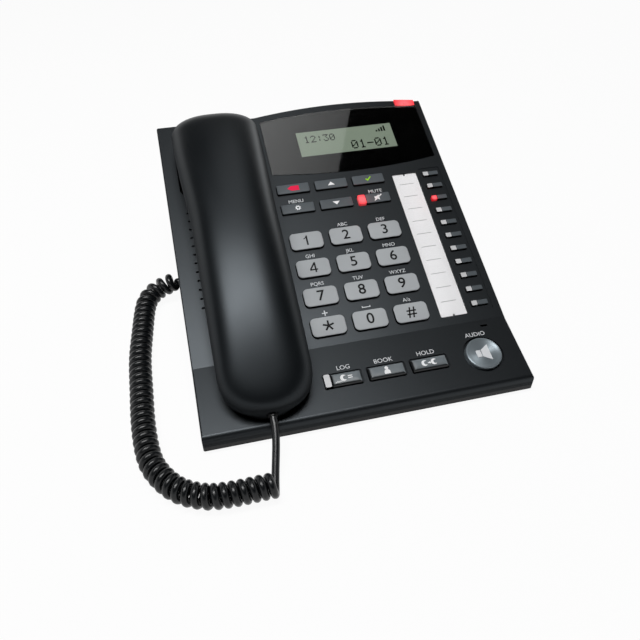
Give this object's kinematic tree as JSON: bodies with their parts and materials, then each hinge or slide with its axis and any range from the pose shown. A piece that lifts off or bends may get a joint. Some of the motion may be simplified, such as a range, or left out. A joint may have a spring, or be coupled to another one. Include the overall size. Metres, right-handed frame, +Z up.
{
  "type": "cellular desk phone",
  "caption": "Wedge-shaped desk telephone for a mobile network, with a corded handset in its cradle, sprung dial, function and line keys, a display and a label strip.",
  "frame": {"origin": "on the table, under the middle of the case, measured without the cord", "axes": "+X to the right of the keypad, +Y to the rear, +Z up"},
  "size_m": [0.2216, 0.2524, 0.0967],
  "materials": {
    "case": "satin",
    "light_key": "satin",
    "grey_key": "satin",
    "lower_key": "semi-gloss",
    "window": "gloss",
    "lcd": "satin",
    "red_lamp": "gloss",
    "card": "matte",
    "clear_cover": "gloss",
    "lamp_lens": "satin",
    "mat_rubber": "matte",
    "board": "satin",
    "driver": "matte",
    "battery": "satin",
    "foot_rubber": "matte",
    "screw_steel": "satin",
    "socket": "satin",
    "antenna_brass": "satin",
    "hook": "satin",
    "handset": "semi-gloss",
    "capsule": "satin",
    "plug": "gloss",
    "cord": "satin"
  },
  "bodies": {
    "base": {"upper_case": "case", "lower_case": "case", "display_window": "window", "lcd_panel": "lcd", "message_lamp": "red_lamp", "label_card": "card", "label_cover": "clear_cover", "lamp_lenses": "lamp_lens", "key_mat": "mat_rubber", "key_board": "board", "main_board": "board", "loudspeaker": "driver", "battery_pack": "battery", "battery_door": "case", "rubber_feet": "foot_rubber", "case_screws": "screw_steel", "dc_jack": "socket", "cord_jack": "socket", "antenna": "antenna_brass", "base_plug": "plug", "curly_cord": "cord"},
    "hook": {"hook_plunger": "hook"},
    "handset": {"handset_back": "handset", "handset_front": "handset", "receiver_capsule": "capsule", "handset_microphone": "capsule", "handset_plug": "plug"},
    "key_1_button": {"key_1": "light_key"},
    "key_2_button": {"key_2": "light_key"},
    "key_3_button": {"key_3": "light_key"},
    "key_4_button": {"key_4": "light_key"},
    "key_5_button": {"key_5": "light_key"},
    "key_6_button": {"key_6": "light_key"},
    "key_7_button": {"key_7": "light_key"},
    "key_8_button": {"key_8": "light_key"},
    "key_9_button": {"key_9": "light_key"},
    "key_star_button": {"key_star": "light_key"},
    "key_0_button": {"key_0": "light_key"},
    "key_hash_button": {"key_hash": "light_key"},
    "clear_key_button": {"clear_key": "grey_key"},
    "up_key_button": {"up_key": "grey_key"},
    "confirm_key_button": {"confirm_key": "grey_key"},
    "settings_key_button": {"settings_key": "grey_key"},
    "down_key_button": {"down_key": "grey_key"},
    "mute_key_button": {"mute_key": "grey_key"},
    "log_key_button": {"log_key": "lower_key"},
    "book_key_button": {"book_key": "lower_key"},
    "transfer_key_button": {"transfer_key": "lower_key"},
    "speaker_key_button": {"speaker_key": "lower_key"},
    "line_key_1_button": {"line_key_1": "grey_key"},
    "line_key_2_button": {"line_key_2": "grey_key"},
    "line_key_3_button": {"line_key_3": "grey_key"},
    "line_key_4_button": {"line_key_4": "grey_key"},
    "line_key_5_button": {"line_key_5": "grey_key"},
    "line_key_6_button": {"line_key_6": "grey_key"},
    "line_key_7_button": {"line_key_7": "grey_key"},
    "line_key_8_button": {"line_key_8": "grey_key"},
    "line_key_9_button": {"line_key_9": "grey_key"},
    "line_key_10_button": {"line_key_10": "grey_key"},
    "line_key_11_button": {"line_key_11": "grey_key"}
  },
  "joints": [
    {"name": "handset_lift", "type": "slide", "parent": "base", "child": "handset", "axis": [0, -0.342, 0.9397], "range_m": [0, 0.1]},
    {"name": "hook_rise", "type": "slide", "parent": "base", "child": "hook", "axis": [0, -0.342, 0.9397], "range_m": [0, 0.003]},
    {"name": "key_1_press", "type": "slide", "parent": "base", "child": "key_1_button", "axis": [0, 0.342, -0.9397], "range_m": [0, 0.0015], "stiffness_N_per_m": 250, "springref_m": -0.002},
    {"name": "key_2_press", "type": "slide", "parent": "base", "child": "key_2_button", "axis": [0, 0.342, -0.9397], "range_m": [0, 0.0015], "stiffness_N_per_m": 250, "springref_m": -0.002},
    {"name": "key_3_press", "type": "slide", "parent": "base", "child": "key_3_button", "axis": [0, 0.342, -0.9397], "range_m": [0, 0.0015], "stiffness_N_per_m": 250, "springref_m": -0.002},
    {"name": "key_4_press", "type": "slide", "parent": "base", "child": "key_4_button", "axis": [0, 0.342, -0.9397], "range_m": [0, 0.0015], "stiffness_N_per_m": 250, "springref_m": -0.002},
    {"name": "key_5_press", "type": "slide", "parent": "base", "child": "key_5_button", "axis": [0, 0.342, -0.9397], "range_m": [0, 0.0015], "stiffness_N_per_m": 250, "springref_m": -0.002},
    {"name": "key_6_press", "type": "slide", "parent": "base", "child": "key_6_button", "axis": [0, 0.342, -0.9397], "range_m": [0, 0.0015], "stiffness_N_per_m": 250, "springref_m": -0.002},
    {"name": "key_7_press", "type": "slide", "parent": "base", "child": "key_7_button", "axis": [0, 0.342, -0.9397], "range_m": [0, 0.0015], "stiffness_N_per_m": 250, "springref_m": -0.002},
    {"name": "key_8_press", "type": "slide", "parent": "base", "child": "key_8_button", "axis": [0, 0.342, -0.9397], "range_m": [0, 0.0015], "stiffness_N_per_m": 250, "springref_m": -0.002},
    {"name": "key_9_press", "type": "slide", "parent": "base", "child": "key_9_button", "axis": [0, 0.342, -0.9397], "range_m": [0, 0.0015], "stiffness_N_per_m": 250, "springref_m": -0.002},
    {"name": "key_star_press", "type": "slide", "parent": "base", "child": "key_star_button", "axis": [0, 0.342, -0.9397], "range_m": [0, 0.0015], "stiffness_N_per_m": 250, "springref_m": -0.002},
    {"name": "key_0_press", "type": "slide", "parent": "base", "child": "key_0_button", "axis": [0, 0.342, -0.9397], "range_m": [0, 0.0015], "stiffness_N_per_m": 250, "springref_m": -0.002},
    {"name": "key_hash_press", "type": "slide", "parent": "base", "child": "key_hash_button", "axis": [0, 0.342, -0.9397], "range_m": [0, 0.0015], "stiffness_N_per_m": 250, "springref_m": -0.002},
    {"name": "clear_key_press", "type": "slide", "parent": "base", "child": "clear_key_button", "axis": [0, 0.342, -0.9397], "range_m": [0, 0.0015], "stiffness_N_per_m": 250, "springref_m": -0.002},
    {"name": "up_key_press", "type": "slide", "parent": "base", "child": "up_key_button", "axis": [0, 0.342, -0.9397], "range_m": [0, 0.0015], "stiffness_N_per_m": 250, "springref_m": -0.002},
    {"name": "confirm_key_press", "type": "slide", "parent": "base", "child": "confirm_key_button", "axis": [0, 0.342, -0.9397], "range_m": [0, 0.0015], "stiffness_N_per_m": 250, "springref_m": -0.002},
    {"name": "settings_key_press", "type": "slide", "parent": "base", "child": "settings_key_button", "axis": [0, 0.342, -0.9397], "range_m": [0, 0.0015], "stiffness_N_per_m": 250, "springref_m": -0.002},
    {"name": "down_key_press", "type": "slide", "parent": "base", "child": "down_key_button", "axis": [0, 0.342, -0.9397], "range_m": [0, 0.0015], "stiffness_N_per_m": 250, "springref_m": -0.002},
    {"name": "mute_key_press", "type": "slide", "parent": "base", "child": "mute_key_button", "axis": [0, 0.342, -0.9397], "range_m": [0, 0.0015], "stiffness_N_per_m": 250, "springref_m": -0.002},
    {"name": "log_key_press", "type": "slide", "parent": "base", "child": "log_key_button", "axis": [0, 0.1994, -0.9799], "range_m": [0, 0.0015], "stiffness_N_per_m": 250, "springref_m": -0.002},
    {"name": "book_key_press", "type": "slide", "parent": "base", "child": "book_key_button", "axis": [0, 0.1994, -0.9799], "range_m": [0, 0.0015], "stiffness_N_per_m": 250, "springref_m": -0.002},
    {"name": "transfer_key_press", "type": "slide", "parent": "base", "child": "transfer_key_button", "axis": [0, 0.1994, -0.9799], "range_m": [0, 0.0015], "stiffness_N_per_m": 250, "springref_m": -0.002},
    {"name": "speaker_key_press", "type": "slide", "parent": "base", "child": "speaker_key_button", "axis": [0, 0.1994, -0.9799], "range_m": [0, 0.0015], "stiffness_N_per_m": 250, "springref_m": -0.002},
    {"name": "line_key_1_press", "type": "slide", "parent": "base", "child": "line_key_1_button", "axis": [0, 0.342, -0.9397], "range_m": [0, 0.0015], "stiffness_N_per_m": 250, "springref_m": -0.002},
    {"name": "line_key_2_press", "type": "slide", "parent": "base", "child": "line_key_2_button", "axis": [0, 0.342, -0.9397], "range_m": [0, 0.0015], "stiffness_N_per_m": 250, "springref_m": -0.002},
    {"name": "line_key_3_press", "type": "slide", "parent": "base", "child": "line_key_3_button", "axis": [0, 0.342, -0.9397], "range_m": [0, 0.0015], "stiffness_N_per_m": 250, "springref_m": -0.002},
    {"name": "line_key_4_press", "type": "slide", "parent": "base", "child": "line_key_4_button", "axis": [0, 0.342, -0.9397], "range_m": [0, 0.0015], "stiffness_N_per_m": 250, "springref_m": -0.002},
    {"name": "line_key_5_press", "type": "slide", "parent": "base", "child": "line_key_5_button", "axis": [0, 0.342, -0.9397], "range_m": [0, 0.0015], "stiffness_N_per_m": 250, "springref_m": -0.002},
    {"name": "line_key_6_press", "type": "slide", "parent": "base", "child": "line_key_6_button", "axis": [0, 0.342, -0.9397], "range_m": [0, 0.0015], "stiffness_N_per_m": 250, "springref_m": -0.002},
    {"name": "line_key_7_press", "type": "slide", "parent": "base", "child": "line_key_7_button", "axis": [0, 0.342, -0.9397], "range_m": [0, 0.0015], "stiffness_N_per_m": 250, "springref_m": -0.002},
    {"name": "line_key_8_press", "type": "slide", "parent": "base", "child": "line_key_8_button", "axis": [0, 0.342, -0.9397], "range_m": [0, 0.0015], "stiffness_N_per_m": 250, "springref_m": -0.002},
    {"name": "line_key_9_press", "type": "slide", "parent": "base", "child": "line_key_9_button", "axis": [0, 0.342, -0.9397], "range_m": [0, 0.0015], "stiffness_N_per_m": 250, "springref_m": -0.002},
    {"name": "line_key_10_press", "type": "slide", "parent": "base", "child": "line_key_10_button", "axis": [0, 0.342, -0.9397], "range_m": [0, 0.0015], "stiffness_N_per_m": 250, "springref_m": -0.002},
    {"name": "line_key_11_press", "type": "slide", "parent": "base", "child": "line_key_11_button", "axis": [0, 0.342, -0.9397], "range_m": [0, 0.0015], "stiffness_N_per_m": 250, "springref_m": -0.002}
  ],
  "couplings": [
    {"joint": "hook_rise", "follows": "handset_lift", "ratio": 0.03}
  ]
}
